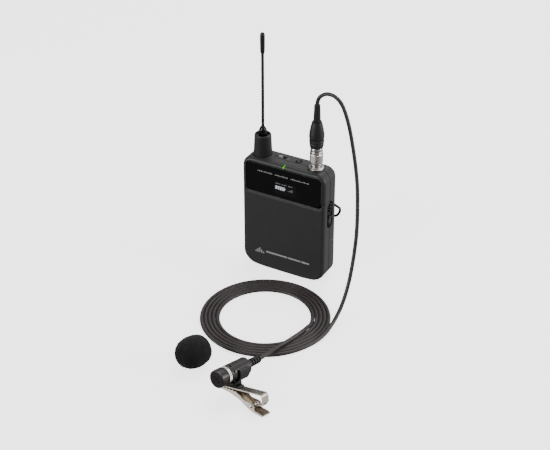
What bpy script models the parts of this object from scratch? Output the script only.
"""Wireless lavalier microphone set: bodypack, lead with microphone and tie clip, loose windscreen.

The origin is the centre of the bodypack's foot. +X is to the display's right, -Y is the display
side and +Z is up. Every length below is in millimetres, and MM turns it into Blender's metres.
"""
import math

import bmesh
import bpy
from mathutils import Matrix, Vector

MM = 0.001
GAP = 0.3                   # clearance between neighbouring pieces

# Bodypack case
HALF_W = 32.0
HEIGHT = 87.0
HALF_D = 9.0
EDGE = 2.6                  # rounding of the front and rear edges
R_TOP = 7.0
R_BOTTOM = 9.0
WALL = 1.4
FOOT = 12.0                 # half width of the flat foot
BOW = 2.4                   # rise of the lower edge at the case's sides
SEAM = -0.5                 # where the front and rear shells meet
BOSS_X, BOSS_Z = 27.6, 78.0 # screw bosses inside the head

# Display window and the parting line under it
BREAK_Z = 65.0
WINDOW_W = 28.8
WINDOW_LOW = 61.2
WINDOW_TOP = 84.0
WINDOW_R = 4.0
POCKET_Y = -7.6
HEAD_INNER_Y = -6.1
OLED = (-6.3, 9.8, 64.4, 73.4)

# Battery door hinge
HINGE_Y = -6.5
HINGE_Z = 1.9
HINGE_PIN_R = 0.7

# Batteries and the panel beside them
CELL_R = 7.25
CELL_LOW = 6.0
CELL_TOP = 56.0
CELL_X = (-17.5, -1.8)
CELL_Y = 0.2
PANEL_X = (7.6, 28.9)
PANEL_Y = (-2.0, -0.8)
MENU_X = 18.5
MENU_Z = {"menu_button": 50.0, "up_button": 40.0, "down_button": 30.0}
TRAY_SCREWS = ((12.2, 11.5), (25.6, 11.5), (25.6, 55.0))    # (x, z)

# Side latches
LATCH_LOW = 42.7
LATCH_TOP = 63.8
LATCH_Y = (-3.6, 3.7)
SLIDER_Z = (46.6, 52.2)
SLIDER_HALF_Y = 1.9

# Top controls
CONTROL_Y = 2.2
SWITCH_X = (-9.1, -3.3)
MUTE_X = 6.3
FUNCTION_LIGHT_X = -11.6

# Antenna and jack axes
ANTENNA_X = -20.5
JACK_X = 20.8

# Cable
CABLE_R = 1.25
COIL_X, COIL_Y = 16.27, -62.86
RING_PITCH = 2.7
RING_R = 42.9
RINGS = 5
STEP_START = 20.0           # each turn steps inwards while its angle falls from here...
STEP_SPAN = 48.0            # ...by this much

# Microphone and clip frame: x towards the clip's bend, y rearwards along the microphone, z up
MIC_AT = (37.4, -143.35, 16.6)
MIC_TURN = -12.44
MIC_PITCH = -9.0
MIC_ROLL = -14.4
MIC_R = 5.7
CAP_R = 5.9
ARM_TOP = -8.9
ARM_HALF_W = 3.0
JAW_HALF_W = 3.8
SHEET = 0.8
PIN_X, PIN_Z = 17.9, -17.8

# Windscreen
SCREEN_AT = (1.21, -130.8, 10.83)
SCREEN_R = 10.7
SCREEN_HALF_L = 12.0
SCREEN_REAR = 9.3

LOOKS = {
    "case_plastic": ((0.030, 0.030, 0.033), 0.48, 0.0),
    "door_plastic": ((0.034, 0.034, 0.036), 0.50, 0.0),
    "window_gloss": ((0.004, 0.004, 0.005), 0.08, 0.0),
    "oled_glass": ((0.010, 0.010, 0.012), 0.20, 0.0),
    "green_light": ((0.12, 0.65, 0.02), 0.30, 0.0),
    "black_plastic": ((0.012, 0.012, 0.013), 0.40, 0.0),
    "grey_plastic": ((0.30, 0.30, 0.30), 0.45, 0.0),
    "rubber": ((0.010, 0.010, 0.011), 0.65, 0.0),
    "cable_jacket": ((0.042, 0.033, 0.033), 0.55, 0.0),
    "mic_lacquer": ((0.040, 0.034, 0.034), 0.42, 0.3),
    "bright_nickel": ((0.78, 0.74, 0.70), 0.18, 1.0),
    "clip_steel": ((0.62, 0.57, 0.50), 0.25, 1.0),
    "dark_steel": ((0.06, 0.06, 0.06), 0.35, 1.0),
    "circuit_board": ((0.02, 0.12, 0.05), 0.50, 0.0),
    "cell_wrap": ((0.10, 0.10, 0.11), 0.35, 0.2),
    "foam": ((0.009, 0.009, 0.009), 0.95, 0.0),
}


# ---------------------------------------------------------------- scene, collections, materials

def clear_scene():
    for obj in list(bpy.data.objects):
        bpy.data.objects.remove(obj, do_unlink=True)


def new_collection(name):
    group = bpy.data.collections.new(name)
    bpy.context.scene.collection.children.link(group)
    return group


def make_material(name):
    colour, roughness, metallic = LOOKS[name]
    look = bpy.data.materials.new(name)
    look.use_nodes = True
    shader = look.node_tree.nodes["Principled BSDF"]
    shader.inputs["Base Color"].default_value = (*colour, 1.0)
    shader.inputs["Roughness"].default_value = roughness
    shader.inputs["Metallic"].default_value = metallic
    return look


def helper(name, data, home=None):
    """An object that only cuts, joins or guides; part() turns one into a real piece."""
    obj = bpy.data.objects.new(name, data)
    CUTTERS.objects.link(obj)
    obj.hide_render = True
    obj.display_type = "WIRE"
    obj.parent = home
    return obj


def part(shape, name, look):
    """Name a shape, give it its own material and move it to the assembly."""
    CUTTERS.objects.unlink(shape)
    ASSEMBLY.objects.link(shape)
    shape.name = name
    shape.hide_render = False
    shape.display_type = "TEXTURED"
    own = make_material(look)
    own.name = name + "_" + look
    shape.data.materials.clear()
    shape.data.materials.append(own)
    return shape


def empty(name, place, home=None):
    obj = bpy.data.objects.new(name, None)
    ASSEMBLY.objects.link(obj)
    obj.empty_display_size = 5 * MM
    obj.matrix_world = place
    obj.parent = home
    return obj


def at(x, y, z):
    return Matrix.Translation(Vector((x, y, z)) * MM)


def hang(obj, pivot):
    """Parent a piece, and the shapes that cut or join it, to a pivot without moving them."""
    obj.parent = pivot
    obj.matrix_parent_inverse = pivot.matrix_world.inverted()
    for modifier in obj.modifiers:
        if modifier.type == "BOOLEAN":
            hang(modifier.object, pivot)


# ---------------------------------------------------------------- basic shapes

def evaluated_mesh(obj):
    graph = bpy.context.evaluated_depsgraph_get()
    return bpy.data.meshes.new_from_object(obj.evaluated_get(graph))


def shade(mesh):
    mesh.shade_smooth()
    mesh.set_sharp_from_angle(angle=math.radians(35))


def mesh_from(bm, name):
    mesh = bpy.data.meshes.new(name)
    bm.to_mesh(mesh)
    bm.free()
    shade(mesh)
    return mesh


def block(name, low, high, home=None):
    """A box between two corners."""
    low, high = Vector(low) * MM, Vector(high) * MM
    bm = bmesh.new()
    place = Matrix.Translation((low + high) / 2) @ Matrix.Diagonal((*(high - low), 1.0))
    bmesh.ops.create_cube(bm, size=1.0, matrix=place)
    return helper(name, mesh_from(bm, name), home)


def across(side, inner, outer):
    """Two distances from the middle as coordinates on one side of it, lowest first."""
    return sorted((side * inner, side * outer))


def rod(name, start, end, radius, segments=24, home=None, end_radius=None):
    """A cylinder or cone between two points."""
    start, end = Vector(start) * MM, Vector(end) * MM
    turn = (end - start).to_track_quat("Z", "Y").to_matrix().to_4x4()
    place = Matrix.Translation((start + end) / 2) @ turn
    tip = radius if end_radius is None else end_radius
    bm = bmesh.new()
    bmesh.ops.create_cone(bm, cap_ends=True, segments=segments, radius1=radius * MM,
                          radius2=tip * MM, depth=(end - start).length, matrix=place)
    return helper(name, mesh_from(bm, name), home)


AXIS_TURN = {
    "X": Matrix(((0, 0, 1, 0), (1, 0, 0, 0), (0, 1, 0, 0), (0, 0, 0, 1))),
    "Y": Matrix.Rotation(math.radians(90), 4, "X"),
    "Z": Matrix.Identity(4),
}


def prism(name, outline, low, high, axis, home=None):
    """A flat outline carried along an axis; the outline is (y, z), (x, z) or (x, y)."""
    curve = bpy.data.curves.new(name, "CURVE")
    curve.dimensions = "2D"
    curve.fill_mode = "BOTH"
    curve.extrude = (high - low) / 2 * MM
    spline = curve.splines.new("POLY")
    spline.points.add(len(outline) - 1)
    for point, (u, v) in zip(spline.points, outline):
        point.co = (u * MM, v * MM, 0.0, 1.0)
    spline.use_cyclic_u = True
    flat = helper(name, curve)
    mesh = evaluated_mesh(flat)
    bpy.data.objects.remove(flat, do_unlink=True)
    bm = bmesh.new()
    bm.from_mesh(mesh)
    bmesh.ops.remove_doubles(bm, verts=bm.verts, dist=0.001 * MM)
    bmesh.ops.dissolve_limit(bm, angle_limit=0.001, verts=bm.verts, edges=bm.edges)
    shift = Vector([(low + high) / 2 * MM if letter == axis else 0.0 for letter in "XYZ"])
    bmesh.ops.transform(bm, matrix=Matrix.Translation(shift) @ AXIS_TURN[axis], verts=bm.verts)
    bmesh.ops.recalc_face_normals(bm, faces=bm.faces)
    return helper(name, mesh_from(bm, name), home)


def turned(name, profile, steps=20, closed=False, place=None, axis="Z", home=None):
    """A profile of (radius, height), listed from the top down its outer side, turned on an axis.

    A closed profile comes back up its inner side and leaves a bore.
    """
    mesh = bpy.data.meshes.new(name)
    points = [(radius * MM, 0.0, height * MM) for radius, height in profile]
    edges = [(i, i + 1) for i in range(len(points) - 1)]
    if closed:
        edges.append((len(points) - 1, 0))
    mesh.from_pydata(points, edges, [])
    obj = helper(name, mesh, home)
    screw = obj.modifiers.new("turn", "SCREW")
    screw.axis = "Z"
    screw.steps = steps
    screw.render_steps = steps
    screw.use_merge_vertices = True
    screw.merge_threshold = 0.00001
    screw.use_smooth_shade = True
    if place:
        obj.location = Vector(place) * MM
    if axis == "Y":
        obj.rotation_euler = (math.radians(-90), 0, 0)
    return obj


def wire(name, points, radius, home=None, resolution=1):
    """A round wire through the points."""
    curve = bpy.data.curves.new(name, "CURVE")
    curve.dimensions = "3D"
    curve.bevel_depth = radius * MM
    curve.bevel_resolution = resolution
    curve.use_fill_caps = True
    spline = curve.splines.new("POLY")
    spline.points.add(len(points) - 1)
    for point, place in zip(spline.points, points):
        point.co = (*(Vector(place) * MM), 1.0)
    return helper(name, curve, home)


def boolean(target, operation, others):
    for other in others:
        modifier = target.modifiers.new(operation.lower(), "BOOLEAN")
        modifier.operation = operation
        modifier.solver = "EXACT"
        modifier.object = other
    return target


def cut(target, *cutters):
    return boolean(target, "DIFFERENCE", cutters)


def join(target, *others):
    return boolean(target, "UNION", others)


def keep(target, region):
    return boolean(target, "INTERSECT", [region])


def round_edges(obj, width, segments=2):
    modifier = obj.modifiers.new("round", "BEVEL")
    modifier.width = width * MM
    modifier.segments = segments
    modifier.limit_method = "ANGLE"
    modifier.angle_limit = math.radians(50)
    return obj


def smooth_path(points, per_span):
    """Points along a Catmull-Rom curve through the given points."""
    knots = [Vector(p) for p in points]
    knots = [knots[0] * 2 - knots[1]] + knots + [knots[-1] * 2 - knots[-2]]
    path = []
    for i in range(1, len(knots) - 2):
        a, b, c, d = knots[i - 1:i + 3]
        for step in range(per_span):
            t = step / per_span
            path.append(0.5 * (2 * b + (c - a) * t + (2 * a - 5 * b + 4 * c - d) * t ** 2
                               + (3 * b - a - 3 * c + d) * t ** 3))
    path.append(knots[-2])
    return path


def arc(centre_u, centre_v, radius, start, end, steps):
    """Points on an arc, angles in degrees."""
    points = []
    for i in range(steps + 1):
        angle = math.radians(start + (end - start) * i / steps)
        points.append((centre_u + radius * math.cos(angle), centre_v + radius * math.sin(angle)))
    return points


def strip(path, thickness):
    """The outline of a bent sheet whose centre line is the path of (u, v) points."""
    left, right = [], []
    for i, (u, v) in enumerate(path):
        before = path[max(i - 1, 0)]
        after = path[min(i + 1, len(path) - 1)]
        along = Vector((after[0] - before[0], after[1] - before[1])).normalized()
        side = Vector((-along.y, along.x)) * thickness / 2
        left.append((u + side.x, v + side.y))
        right.append((u - side.x, v - side.y))
    return left + right[::-1]


# ---------------------------------------------------------------- bodypack case

def case_outline(inset=0.0, steps=4):
    """Front view of the case: rounded corners, and a lower edge that rises beyond the foot."""
    top, bottom = R_TOP - inset, R_BOTTOM - inset
    points = arc(HALF_W - R_TOP, HEIGHT - R_TOP, top, 0, 90, steps)
    points += arc(R_TOP - HALF_W, HEIGHT - R_TOP, top, 90, 180, steps)
    points += arc(R_BOTTOM - HALF_W, R_BOTTOM, bottom, 180, 270, steps)
    points += [(x, inset) for x in (-17.5, -FOOT, FOOT, 17.5)]
    points += arc(HALF_W - R_BOTTOM, R_BOTTOM, bottom, 270, 360, steps)
    return [(x, z + rise(x, z)) for x, z in points]


def rise(x, z):
    beyond = max(0.0, abs(x) - FOOT) / (HALF_W - FOOT)
    return BOW * beyond ** 2 * max(0.0, 1.0 - z / 20.0)


def head_outline(drop):
    """The region above the parting line, lowered by drop."""
    low = WINDOW_LOW - 0.2 - drop
    side = WINDOW_W + GAP + drop
    points = [(40.0, 95.0), (-40.0, 95.0), (-40.0, BREAK_Z - drop)]
    points += arc(WINDOW_R - side, low + WINDOW_R, WINDOW_R, 180, 270, 4)
    points += arc(side - WINDOW_R, low + WINDOW_R, WINDOW_R, 270, 360, 4)
    points += [(40.0, BREAK_Z - drop)]
    return points


def window_outline(grow=0.0):
    half, radius = WINDOW_W + grow, WINDOW_R + grow
    top_r = radius - 0.8
    points = arc(half - top_r, WINDOW_TOP + grow - top_r, top_r, 0, 90, 4)
    points += arc(top_r - half, WINDOW_TOP + grow - top_r, top_r, 90, 180, 4)
    points += arc(radius - half, WINDOW_LOW - grow + radius, radius, 180, 270, 4)
    points += arc(half - radius, WINDOW_LOW - grow + radius, radius, 270, 360, 4)
    return points


def latch_outline(grow=0.0):
    """The side pocket: an arched top and a pointed bottom, as (y, z)."""
    front, rear = LATCH_Y[0] - grow, LATCH_Y[1] + grow
    middle = (front + rear) / 2
    half = (rear - front) / 2
    points = arc(middle, LATCH_TOP + grow - half, half, 0, 180, 4)
    points += [(front, LATCH_LOW + 2.6), (middle, LATCH_LOW - grow), (rear, LATCH_LOW + 2.6)]
    return points


def case_shell(name, inner_low, inner_high):
    """The whole rounded case with its cavity; each shell keeps its own region of it."""
    outer = prism(name, case_outline(), -HALF_D, HALF_D, "Y")
    round_edges(outer, EDGE, 2)
    cavity = prism(name + "_cavity", case_outline(WALL), inner_low, inner_high, "Y")
    return cut(outer, cavity)


def top_holes(name):
    """Holes through the top wall for the antenna neck and the jack, and the jack's recess."""
    return [
        rod(name + "_antenna_hole", (ANTENNA_X, 0, 80), (ANTENNA_X, 0, 90), 3.5),
        rod(name + "_jack_hole", (JACK_X, 0, 80), (JACK_X, 0, 90), 4.3),
        rod(name + "_jack_recess", (JACK_X, 0, HEIGHT - 0.5), (JACK_X, 0, 90), 6.1, 32),
    ]


def build_front_case():
    shell = case_shell("front_shell", HEAD_INNER_Y, HALF_D - WALL)
    keep(shell, prism("front_region", head_outline(0.0), -12, SEAM - GAP / 2, "Y"))
    for side in (-1, 1):
        x = side * BOSS_X
        join(shell, rod("boss", (x, HEAD_INNER_Y - 0.5, BOSS_Z), (x, 5.0, BOSS_Z), 2.3, 16))
        cut(shell, rod("boss_bore", (x, -4.0, BOSS_Z), (x, 7.0, BOSS_Z), 1.2, 12))
    x_low, x_high, z_low, z_high = OLED
    cut(
        shell,
        prism("window_pocket", window_outline(GAP), -12, POCKET_Y, "Y"),
        block("oled_opening", (x_low - 0.7, -9, z_low - 0.7), (x_high + 0.7, -4, z_high + 0.7)),
        block("light_slot", (-1.5, -10, 84.9), (1.5, -6.0, 88)),
        *top_holes("front"),
    )
    part(shell, "front_case", "case_plastic")


def build_rear_case():
    shell = case_shell("rear_shell", HEAD_INNER_Y, HALF_D - WALL)
    region = block("rear_region", (-40, SEAM + GAP / 2, -5), (40, 12, 95))
    lip = block("rear_lip_region", (-40, -4.2, -5), (40, SEAM + GAP, 1.9))
    keep(shell, join(region, lip))
    for side in (-1, 1):
        near, far = across(side, 29.3, 30.9)
        join(shell, block("latch_wall", (near, -0.3, 41.6), (far, 5.5, 64.4)))
        near, far = across(side, 29.4, 30.3)
        join(shell, block("latch_tab", (near, -3.4, 41.7), (far, 1.0, 64.3)))
        near, far = across(side, 30.9, 34)
        pocket = prism("latch_pocket", latch_outline(), near, far, "X")
        near, far = across(side, 27, 32)
        slot = block("latch_slot", (near, -1.1, 43.6), (far, 1.1, 49.3))
        cut(shell, pocket, slot)
        join(shell, rod("case_lug", (side * 19.5, -6.5, 2.3), (side * 22.5, -6.5, 2.3), 1.5, 16))
        near, far = across(side, 19.5, 22.5)
        join(shell, block("case_lug_arm", (near, -6.3, 1.0), (far, -3.0, 2.4)))
        x = side * BOSS_X
        cut(
            shell,
            rod("screw_hole", (x, 4, BOSS_Z), (x, 12, BOSS_Z), 1.2, 12),
            rod("screw_sink", (x, 7.9, BOSS_Z), (x, 12, BOSS_Z), 2.3, 20),
        )
        near, far = across(side, 17.2, 22.6)
        ear = rod("clip_ear", (near, 10.3, 77.0), (far, 10.3, 77.0), 2.2, 20)
        web = block("clip_web", (near, 8.2, 74.9), (far, 10.2, 79.1))
        join(shell, ear, web)
    cut(
        shell,
        rod("hinge_bore", (-26, HINGE_Y, HINGE_Z), (26, HINGE_Y, HINGE_Z), HINGE_PIN_R + 0.15, 16),
        rod("clip_bore", (-23, 10.3, 77.0), (23, 10.3, 77.0), 0.95, 16),
        block("switch_slot", (SWITCH_X[0], CONTROL_Y - 1.3, 84), (SWITCH_X[1], CONTROL_Y + 1.3, 90)),
        rod("mute_hole", (MUTE_X, CONTROL_Y, 84), (MUTE_X, CONTROL_Y, 90), 2.1, 24),
        rod("function_light_hole", (FUNCTION_LIGHT_X, CONTROL_Y, 84),
            (FUNCTION_LIGHT_X, CONTROL_Y, 90), 1.1, 12),
        *top_holes("rear"),
    )
    part(shell, "rear_case", "case_plastic")


def build_battery_door():
    door = case_shell("door_shell", POCKET_Y, HALF_D - WALL)
    keep(door, block("door_region", (-40, -12, -5), (40, SEAM - GAP / 2, 90)))
    cut(
        door,
        prism("door_top", head_outline(GAP), -12, 12, "Y"),
        block("door_heel", (-40, -6.0, -5), (40, 12, 2.3)),
        prism("door_lip", [(-9.4, 57.6), (-9.4, 64.0), (-8.1, 64.0), (-8.1, 61.0)], -26, 26, "X"),
        prism("latch_notch_right", latch_outline(GAP), 28, 34, "X"),
        prism("latch_notch_left", latch_outline(GAP), -34, -28, "X"),
    )
    for side in (-1, 1):
        near, far = across(side, 19.1, 22.9)
        cut(door, block("lug_notch", (near, -8.15, -1), (far, -4, 4.3)))
        near, far = across(side, 15.0, 18.2)
        join(door, block("door_lug", (near, -8.0, 1.0), (far, -5.5, 3.4)))
    bore = HINGE_PIN_R + 0.15
    cut(door, rod("door_bore", (-26, HINGE_Y, HINGE_Z), (26, HINGE_Y, HINGE_Z), bore, 16))
    part(door, "battery_door", "door_plastic")
    pivot = empty("door_hinge", at(0, HINGE_Y, HINGE_Z))
    hang(door, pivot)
    pin = rod("hinge_pin", (-22.3, HINGE_Y, HINGE_Z), (22.3, HINGE_Y, HINGE_Z), HINGE_PIN_R, 16)
    part(pin, "door_hinge_pin", "dark_steel")


def build_display():
    window = prism("window", window_outline(), -8.7, -7.9, "Y")
    part(round_edges(window, 0.2, 1), "display_window", "window_gloss")
    x_low, x_high, z_low, z_high = OLED
    screen = block("oled", (x_low - 0.3, -7.3, z_low - 0.3), (x_high + 0.3, -5.0, z_high + 0.3))
    part(screen, "oled_display", "oled_glass")


def build_lights():
    outline = [(-6.3, HEIGHT + 0.05), (-8.2, 86.35), (-9.05, 85.2), (-7.6, 85.2), (-6.3, 86.0)]
    light = prism("light", outline, -1.0, 1.0, "X")
    part(light, "status_light", "green_light")
    x, y = FUNCTION_LIGHT_X, CONTROL_Y
    part(rod("dot", (x, y, 84.6), (x, y, 86.9), 0.8, 12), "function_light", "black_plastic")


# ---------------------------------------------------------------- controls

def build_latch(name, side):
    near, far = across(side, 31.1, 32.5)
    slider = block(name + "_slider", (near, -SLIDER_HALF_Y, SLIDER_Z[0]), (far, SLIDER_HALF_Y, SLIDER_Z[1]))
    round_edges(slider, 0.4, 2)
    near, far = across(side, 28.3, 31.4)
    tongue = block(name + "_tongue", (near, -0.7, 46.2), (far, 0.7, 48.9))
    part(join(slider, tongue), name, "black_plastic")
    hang(slider, empty(name + "_slide", at(side * 31.8, 0, sum(SLIDER_Z) / 2)))


def build_power_switch():
    y = CONTROL_Y
    nub = block("switch_nub", (-8.8, y - 1.0, 85.0), (-6.2, y + 1.0, 87.7))
    round_edges(nub, 0.25, 2)
    base = block("switch_base", (-10.2, y - 1.9, 84.2), (-4.8, y + 1.9, 85.2))
    part(join(nub, base), "power_switch", "grey_plastic")
    hang(nub, empty("power_slide", at(-7.5, y, HEIGHT)))


def build_mute_button():
    top = HEIGHT + 0.35
    profile = [(0, top), (0.9, top - 0.08), (1.5, top - 0.35), (1.75, top - 0.8), (1.75, 84.9),
               (2.6, 84.9), (2.6, 84.0), (0, 84.0)]
    button = turned("mute", profile, 16, place=(MUTE_X, CONTROL_Y, 0))
    part(button, "mute_button", "black_plastic")


def build_menu_buttons():
    for name, z in MENU_Z.items():
        profile = [(0, 0.4), (2.7, 0.4), (2.7, -0.5), (1.9, -0.5), (1.9, -2.8), (1.6, -3.1), (0, -3.1)]
        button = turned(name + "_turned", profile, 12, place=(MENU_X, 0, z), axis="Y")
        part(button, name, "grey_plastic")


# ---------------------------------------------------------------- inside the bodypack

def build_battery_tray():
    panel = block("panel", (PANEL_X[0], PANEL_Y[0], 8.0), (PANEL_X[1], PANEL_Y[1], 60.0))
    join(
        panel,
        block("divider", (PANEL_X[0], PANEL_Y[0], 8.0), (PANEL_X[0] + 1.0, 7.2, 59.9)),
        block("head_wall", (-27.0, -6.8, 58.4), (PANEL_X[0] + 0.5, 7.2, 59.7)),
        block("panel_head", (PANEL_X[0] + 0.2, PANEL_Y[0] + 0.1, 58.5), (28.8, 4.6, 59.6)),
    )
    for z in MENU_Z.values():
        cut(panel, rod("button_hole", (MENU_X, -4, z), (MENU_X, 2, z), 2.2, 16))
    for x, z in TRAY_SCREWS:
        cut(panel, rod("tray_screw_hole", (x, -4, z), (x, 2, z), 1.0, 12))
    part(panel, "battery_tray", "black_plastic")


def build_board():
    outline = [(-23, 61.5), (10.2, 61.5), (10.2, 9.0), (28.0, 9.0), (28.0, 62.5), (23.5, 66.5),
               (23.5, 82.5), (-23, 82.5)]
    board = prism("board", outline, 5.1, 6.3, "Y")
    for x, z in TRAY_SCREWS:
        cut(board, rod("board_screw_hole", (x, 4, z), (x, 8, z), 1.1, 10))
    part(board, "main_board", "circuit_board")
    shield = block("shield", (-20.5, 2.2, 63.5), (-1.0, 4.8, 80.5))
    part(round_edges(shield, 0.4, 1), "rf_shield", "bright_nickel")


def build_batteries():
    """Two cells side by side, the second one upside down."""
    half = (CELL_TOP - CELL_LOW) / 2
    middle = (CELL_TOP + CELL_LOW) / 2
    profile = [(0, half), (2.6, half), (2.75, half - 0.2), (2.75, half - 1.2), (6.6, half - 1.3),
               (CELL_R, half - 1.9), (CELL_R, 0.4 - half), (6.9, -half), (0, -half)]
    for name, x, turn in (("battery_left", CELL_X[0], 0), ("battery_right", CELL_X[1], 180)):
        cell = turned(name + "_turned", profile, 16, place=(x, CELL_Y, middle))
        cell.rotation_euler = (math.radians(turn), 0, 0)
        part(cell, name, "cell_wrap")


def spring_path(x, y, low, high, radius, turns, per_turn=10):
    points = []
    for i in range(turns * per_turn + 1):
        share = i / (turns * per_turn)
        angle = 2 * math.pi * turns * share
        points.append((x + radius * math.cos(angle), y + radius * math.sin(angle),
                       low + (high - low) * share))
    return points


def build_contacts():
    left, right = CELL_X
    low_spring = wire("low_spring", spring_path(left, CELL_Y, 3.2, 5.4, 2.6, 2), 0.35, resolution=0)
    high_spring = wire("high_spring", spring_path(right, CELL_Y, 56.6, 57.7, 2.6, 1), 0.35, resolution=0)
    part(low_spring, "contact_spring_low", "bright_nickel")
    part(high_spring, "contact_spring_high", "bright_nickel")
    for name, x, low in (("contact_plate_high", left, 57.5), ("contact_plate_low", right, 4.9)):
        plate = block(name + "_block", (x - 5, CELL_Y - 5, low), (x + 5, CELL_Y + 5, low + 0.4))
        part(plate, name, "bright_nickel")


def build_screws():
    for side, name in ((-1, "case_screw_left"), (1, "case_screw_right")):
        profile = [(0, 8.9), (1.9, 8.9), (1.9, 8.3), (0.9, 8.3), (0.9, -3.0), (0, -3.4)]
        part(turned("screw", profile, 12, place=(side * BOSS_X, 0, BOSS_Z), axis="Y"), name, "dark_steel")
    for number, (x, z) in enumerate(TRAY_SCREWS, 1):
        profile = [(0, 6.8), (0.7, 6.8), (0.7, -2.3), (1.6, -2.3), (1.6, -2.9), (0, -3.0)]
        screw = turned("screw", profile, 8, place=(x, 0, z), axis="Y")
        part(screw, "tray_screw_" + str(number), "dark_steel")


# ---------------------------------------------------------------- antenna, jack and belt clip

def build_antenna():
    centre = (ANTENNA_X, 0, 0)
    sleeve = [(5.2, 102.7), (5.75, 102.0), (6.3, 87.3), (3.2, 87.3), (3.2, 82.6), (1.2, 82.6),
              (1.2, 101.0), (4.4, 101.0), (4.7, 102.7)]
    part(turned("sleeve", sleeve, 20, True, centre), "antenna_sleeve", "rubber")
    nut = [(5.4, 85.2), (5.4, 83.6), (3.5, 83.6), (3.5, 85.2)]
    part(turned("antenna_nut_turned", nut, 12, True, centre), "antenna_nut", "bright_nickel")
    ferrule = [(1.2, 108.3), (1.7, 107.8), (2.6, 106.0), (2.9, 103.0), (2.9, 101.3), (1.2, 101.3)]
    part(turned("ferrule", ferrule, 16, True, centre), "antenna_ferrule", "window_gloss")
    whip = [(0, 165.5), (0.9, 165.5), (0.9, 88.0), (0, 88.0)]
    part(turned("whip", whip, 10, False, centre), "antenna_whip", "rubber")
    tip = [(0, 177.8), (0.9, 177.5), (1.5, 176.6), (1.7, 175.3), (1.7, 164.0), (1.4, 162.8),
           (1.2, 162.8), (1.2, 165.8), (0, 165.8)]
    part(turned("tip", tip, 12, False, centre), "antenna_tip", "rubber")


def build_jack():
    centre = (JACK_X, 0, 0)
    shell = [(0, 77.8), (3.75, 77.8), (3.75, 89.0), (4.1, 89.0), (4.3, 88.6), (5.0, 88.5), (5.45, 88.0),
             (5.45, 86.8), (4.0, 86.8), (4.0, 76.6), (0, 76.6)]
    part(turned("jack", shell, 20, place=centre), "jack_shell", "bright_nickel")
    nut = [(6.0, 85.3), (6.0, 84.2), (4.4, 84.2), (4.4, 85.3)]
    part(turned("jack_nut_turned", nut, 12, True, centre), "jack_nut", "bright_nickel")
    insert = rod("insert", (JACK_X, 0, 78.1), (JACK_X, 0, 79.5), 3.4, 24)
    for x, y in contact_places():
        join(insert, rod("pin", (x, y, 78.5), (x, y, 84.0), 0.35, 8))
    part(insert, "jack_insert", "black_plastic")


def contact_places():
    """The plug's four contacts, on a square round the jack's axis."""
    return [(JACK_X + x, y) for x in (-1.2, 1.2) for y in (-1.2, 1.2)]


def build_belt_clip():
    """A sprung wire that hangs from two ears on the back and flares out at its lower end."""
    arm = [(17.0, 10.3, 77.0), (23.6, 10.3, 77.0), (24.2, 12.0, 74.6), (24.5, 15.2, 70.0),
           (25.0, 15.2, 62.5), (26.0, 11.6, 56.0), (27.6, 15.6, 51.8), (28.4, 20.2, 47.5),
           (28.3, 22.8, 44.4), (27.6, 22.9, 41.2), (25.0, 22.9, 38.2), (19.0, 22.9, 37.0)]
    right = smooth_path(arm, 2)
    left = [Vector((-p.x, p.y, p.z)) for p in right]
    part(wire("clip_wire", right + left[::-1], 0.6, resolution=1), "belt_clip", "dark_steel")


# ---------------------------------------------------------------- lead

def build_plug(lead):
    centre = (JACK_X, 0, 0)
    shell = [(3.9, 103.2), (3.9, 101.2), (3.65, 101.2), (3.65, 91.4), (4.2, 91.4), (4.2, 90.4),
             (3.4, 89.8), (3.4, 80.6), (2.9, 80.6), (2.9, 103.2)]
    ring = [(4.2, 100.9), (4.55, 100.6), (4.55, 92.0), (4.2, 91.7), (3.95, 91.7), (3.95, 100.9)]
    boot = [(3.4, 122.4), (4.3, 118.6), (5.0, 114.5), (5.25, 111.5), (4.9, 109.2), (5.1, 108.9),
            (5.1, 107.9), (4.7, 107.6), (4.7, 106.8), (4.9, 106.5), (4.9, 105.5), (4.5, 103.5),
            (1.6, 103.5), (1.6, 122.4)]
    tail = [(2.0, 134.9), (2.55, 122.7), (1.6, 122.7), (1.6, 134.9)]
    pieces = [
        part(turned("shell", shell, 20, True, centre), "plug_shell", "bright_nickel"),
        part(turned("boot", boot, 16, True, centre), "plug_boot", "rubber"),
        part(turned("tail", tail, 16, True, centre), "boot_tail", "rubber"),
    ]
    insert = rod("plug_insert_rod", (JACK_X, 0, 81.0), (JACK_X, 0, 90.0), 2.6, 24)
    for x, y in contact_places():
        cut(insert, rod("socket", (x, y, 80), (x, y, 87.0), 0.6, 10))
    pieces.append(part(insert, "plug_insert", "black_plastic"))
    for piece in pieces:
        hang(piece, lead)
    collar = turned("ring", ring, 20, True)
    collar.parent = empty("ring_axis", at(JACK_X, 0, 0))
    part(collar, "coupling_ring", "bright_nickel")


def ease(share):
    share = min(max(share, 0.0), 1.0)
    return share * share * (3 - 2 * share)


def ring_radius(travel):
    """Radius of the flat coil after this many degrees clockwise from angle zero."""
    steps = 0.0
    for turn in range(RINGS):
        steps += ease((travel - 360 * turn + STEP_START) / STEP_SPAN)
    return RING_R + RING_PITCH * (1 - steps)


def coil_point(travel, radius, height):
    angle = math.radians(-travel)
    return Vector((COIL_X + radius * math.cos(angle), COIL_Y + radius * math.sin(angle), height))


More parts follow.
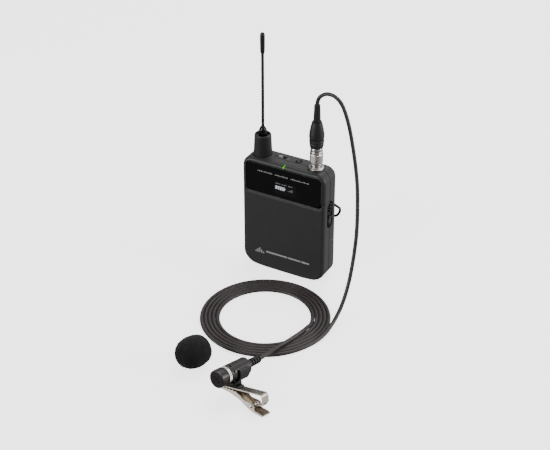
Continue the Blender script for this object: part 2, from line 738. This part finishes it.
def cable_path(end, direction):
    """From the plug, down to the coil, round it and up over the strands to the microphone."""
    floor_z = CABLE_R
    riser = [(JACK_X, 0, 105.5), (JACK_X, 0, 120.0), (JACK_X, 0, 134.0), (21.4, 0, 138.7),
             (23.8, 0, 142.2), (28.6, 0, 144.6), (34.3, -0.1, 143.6), (39.5, -0.4, 138.8),
             (47.5, -1.8, 116.5), (51.6, -3.9, 101.0), (55.2, -7.1, 86.5), (58.3, -12.0, 71.0),
             (60.4, -16.6, 57.0), (61.2, -20.8, 43.5), (61.6, -26.6, 28.5), (61.5, -32.5, 17.5),
             (61.2, -39.0, 9.7), (60.9, -46.8, 4.7)]
    step = 15.0
    turns = []
    travel = -12.0
    while travel < 360 * RINGS - 22:
        height = floor_z + 1.2 * (1 - ease((travel + 12) / 30))
        turns.append(coil_point(travel, ring_radius(travel), height))
        travel += step
    climb = [coil_point(360 * RINGS - 14, 32.0, 1.6), coil_point(360 * RINGS, 31.3, 2.8),
             coil_point(360 * RINGS + 13, 31.9, 3.9)]
    crossing = [(44.8, -81.3, 4.0), (42.4, -92.4, 4.9), (42.0, -105.7, 8.0)]
    last = [end - direction * distance for distance in (12.5, 8.8, 4.5, 0.0)]
    riser = smooth_path(riser + [turns[0]], 3)[:-1]
    tail = smooth_path([turns[-1]] + climb + crossing + last, 3)[1:]
    return riser + turns + tail


def build_cable(lead, mic_frame):
    direction = mic_frame.matrix_world.to_3x3() @ Vector((0, -1, 0))
    end = mic_frame.matrix_world @ (Vector((0, 15.7, 0)) * MM) / MM
    cable = wire("cable_path", cable_path(end, direction), CABLE_R)
    part(cable, "cable", "cable_jacket")
    hang(cable, lead)


# ---------------------------------------------------------------- microphone, in its own frame

def build_microphone(home):
    def turned_part(name, look, profile, steps, closed=False):
        return part(turned(name + "_turned", profile, steps, closed, axis="Y", home=home), name, look)

    cap = turned("cap", [(0, -12.9), (5.0, -12.9), (5.0, -6.2), (CAP_R, -6.2), (CAP_R, -13.3),
                         (5.5, -13.7), (0, -13.7)], 20, axis="Y", home=home)
    for x, z in ((0, 0), (1.6, 1.6), (-1.6, 1.6), (1.6, -1.6), (-1.6, -1.6)):
        cut(cap, rod("sound_hole", (x, -15, z), (x, -12, z), 0.5, 8, home))
    part(cap, "mic_cap", "mic_lacquer")
    turned_part("mic_ring", "bright_nickel",
                [(5.5, -4.65), (5.5, -5.95), (4.9, -5.95), (4.9, -4.65)], 20, True)
    body = turned("body", [(0, 13.2), (5.2, 13.2), (MIC_R, 12.7), (MIC_R, -4.4), (4.7, -4.4),
                           (4.7, 12.2), (0, 12.2)], 20, axis="Y", home=home)
    for i in range(8):
        vent = block("vent", (-0.55, -3.1, 3.5), (0.55, -1.9, 8.0), home)
        vent.rotation_euler = (0, math.radians(22.5 + 45 * i), 0)
        cut(body, vent)
    part(body, "mic_body", "mic_lacquer")
    turned_part("dust_mesh", "dark_steel", [(0, -12.3), (4.6, -12.3), (4.6, -12.6), (0, -12.6)], 16)
    turned_part("mic_capsule", "bright_nickel", [(0, -8.0), (4.4, -8.0), (4.4, -12.0), (0, -12.0)], 16)
    relief = [(2.2, 26.0)]
    for i in range(4):
        rear = 25.1 - 2.3 * i
        radius = 2.3 + 0.07 * i
        relief += [(radius, rear), (radius - 0.4, rear - 0.3), (radius - 0.4, rear - 1.1),
                   (radius, rear - 1.4)]
    relief += [(2.7, 15.9), (2.7, 13.5), (1.6, 13.5), (1.6, 26.0)]
    turned_part("mic_strain_relief", "rubber", relief, 10, True)


def build_clip(home):
    ring = arc(0, 0, 7.2, -200, 15, 12) + arc(0, 0, 6.05, 15, -200, 12)
    holder = prism("holder_ring", ring, 0.8, 9.8, "Y", home)
    foot = block("foot", (-5.0, -2.6, -8.6), (7.8, 2.6, -7.5), home)
    post = block("post", (-2.6, -2.2, -8.2), (3.9, 4.6, -6.3), home)
    join(holder, join(post, foot))
    cut(holder, rod("rivet_hole", (5.9, 0, -12), (5.9, 0, -6), 1.0, 16, home))
    part(holder, "clip_holder", "black_plastic")
    rivet = [(0, -6.8), (0.9, -6.9), (1.4, -7.2), (0.7, -7.2), (0.7, -10.0), (1.3, -10.0),
             (1.0, -10.4), (0, -10.4)]
    part(turned("rivet", rivet, 12, place=(5.9, 0, 0), home=home), "clip_rivet", "dark_steel")
    build_arm(home)
    build_pin_and_spring(home)


def build_arm(home):
    middle = ARM_TOP - SHEET / 2
    bend = [(-6.86, middle), (25.5, middle)] + arc(25.5, middle - 1.2, 1.2, 60, 0, 2)
    wide = strip(bend + [(26.7, -15.0)], SHEET)
    tongue_path = [(26.7, -14.2)] + arc(25.1, -14.9, 1.6, 0, -70, 3)
    tongue = strip(tongue_path + [(21.0, -17.5), (18.5, -18.7)], SHEET * 0.9)
    arm = prism("arm_sheet", wide, -ARM_HALF_W, ARM_HALF_W, "Y", home)
    join(arm, prism("tongue", tongue, -1.6, 1.6, "Y", home))
    join(arm, rod("barrel", (PIN_X, -1.6, PIN_Z), (PIN_X, 0.3, PIN_Z), 1.35, 20, home))
    cut(arm, rod("barrel_bore", (PIN_X, -3, PIN_Z), (PIN_X, 3, PIN_Z), 0.8, 16, home))
    cut(arm, block("spring_room", (PIN_X - 2.2, 0.4, PIN_Z - 2.8), (PIN_X + 2.2, 3, PIN_Z + 2.2), home))
    cut(arm, rod("arm_rivet_hole", (5.9, 0, -12), (5.9, 0, -6), 1.0, 16, home))
    part(arm, "clip_arm", "clip_steel")


def build_pin_and_spring(home):
    pin = [(0, 4.6), (0.7, 4.5), (1.05, 4.1), (0.6, 4.1), (0.6, -4.1), (1.05, -4.1), (0.7, -4.5),
           (0, -4.6)]
    place = (PIN_X, 0, PIN_Z)
    part(turned("pin_turned", pin, 12, place=place, axis="Y", home=home), "clip_pin", "bright_nickel")
    coil = []
    for i in range(28):
        angle = 2 * math.pi * i / 9
        coil.append((PIN_X + 1.25 * math.cos(angle), 0.85 + 0.047 * i, PIN_Z + 1.25 * math.sin(angle)))
    spring = wire("spring_wire", coil, 0.17, home, resolution=0)
    part(spring, "clip_spring", "bright_nickel")


def jaw_floor():
    """The jaw's lower edge, from its tip to the end of its handle."""
    return [(-7.2, -10.7), (-3.0, -11.5), (0.5, -12.2), (4.7, -13.8), (8.7, -15.6), (12.9, -18.4),
            (15.8, -20.2), (19.4, -21.7), (26.4, -23.4)]


def build_jaw(home):
    teeth = [(-7.2, -10.1), (-5.5, -10.1)]
    for i in range(5):
        x = -4.6 + 2.6 * i
        tip = -9.0 - 0.08 * i * i
        teeth += [(x, tip), (x + 0.9, tip - 1.2), (x + 1.5, tip - 1.2)]
    upper = teeth + [(9.4, -12.6), (11.8, -14.9), (14.4, -15.6), (18.1, -16.2), (19.6, -16.6),
                     (19.9, -20.3), (26.4, -22.3)]
    jaw = prism("jaw_side", jaw_floor() + upper[::-1], -JAW_HALF_W, JAW_HALF_W, "Y", home)
    floor = [(x, z + 0.75) for x, z in jaw_floor()]
    floor[0] = (-12.0, floor[0][1] + 0.6)
    floor[-1] = (29.0, floor[-1][1] - 0.6)
    inner_w = JAW_HALF_W - 0.5
    inner = prism("jaw_channel", floor + [(29.0, -5.0), (-12.0, -5.0)], -inner_w, inner_w, "Y", home)
    cut(jaw, inner, rod("jaw_bore", (PIN_X, -5, PIN_Z), (PIN_X, 5, PIN_Z), 0.8, 16, home))
    part(jaw, "clip_jaw", "clip_steel")
    pivot = empty("jaw_pivot", home.matrix_world @ at(PIN_X, 0, PIN_Z))
    hang_local(jaw, home, pivot)


def hang_local(obj, home, pivot):
    """Move a piece made in the home frame, with its cutting shapes, under a pivot in that frame."""
    obj.parent = pivot
    obj.matrix_parent_inverse = pivot.matrix_world.inverted() @ home.matrix_world
    for modifier in obj.modifiers:
        if modifier.type == "BOOLEAN":
            hang_local(modifier.object, home, pivot)


def build_windscreen():
    home = empty("windscreen_frame", at(*SCREEN_AT) @ lying_turn())
    half = SCREEN_HALF_L
    profile = [(0, -1.5), (6.1, -1.5), (6.1, SCREEN_REAR - 0.5), (6.6, SCREEN_REAR),
               (7.8, SCREEN_REAR), (9.0, 8.3), (10.0, 6.0), (SCREEN_R, 2.0), (10.5, -2.0), (9.3, -6.4),
               (7.0, -9.6), (3.7, -11.5), (0, -half)]
    part(turned("foam_turned", profile, 20, axis="Y", home=home), "windscreen", "foam")


def lying_turn():
    """How the microphone's axis lies, which the windscreen shares."""
    turn = Matrix.Rotation(math.radians(MIC_TURN), 4, "Z")
    return turn @ Matrix.Rotation(math.radians(MIC_PITCH), 4, "X")


def mic_matrix():
    return at(*MIC_AT) @ lying_turn() @ Matrix.Rotation(math.radians(MIC_ROLL), 4, "Y")


def build_all():
    build_front_case()
    build_rear_case()
    build_battery_door()
    build_display()
    build_lights()
    build_latch("latch_left", -1)
    build_latch("latch_right", 1)
    build_power_switch()
    build_mute_button()
    build_menu_buttons()
    build_battery_tray()
    build_board()
    build_batteries()
    build_contacts()
    build_screws()
    build_antenna()
    build_jack()
    build_belt_clip()
    lead = empty("lead_slide", at(JACK_X, 0, HEIGHT))
    mic_frame = empty("mic_frame", mic_matrix())
    build_plug(lead)
    build_cable(lead, mic_frame)
    build_microphone(mic_frame)
    build_clip(mic_frame)
    build_jaw(mic_frame)
    build_windscreen()


clear_scene()
ASSEMBLY = new_collection("lavalier_microphone_set")
CUTTERS = new_collection("cutters")
build_all()
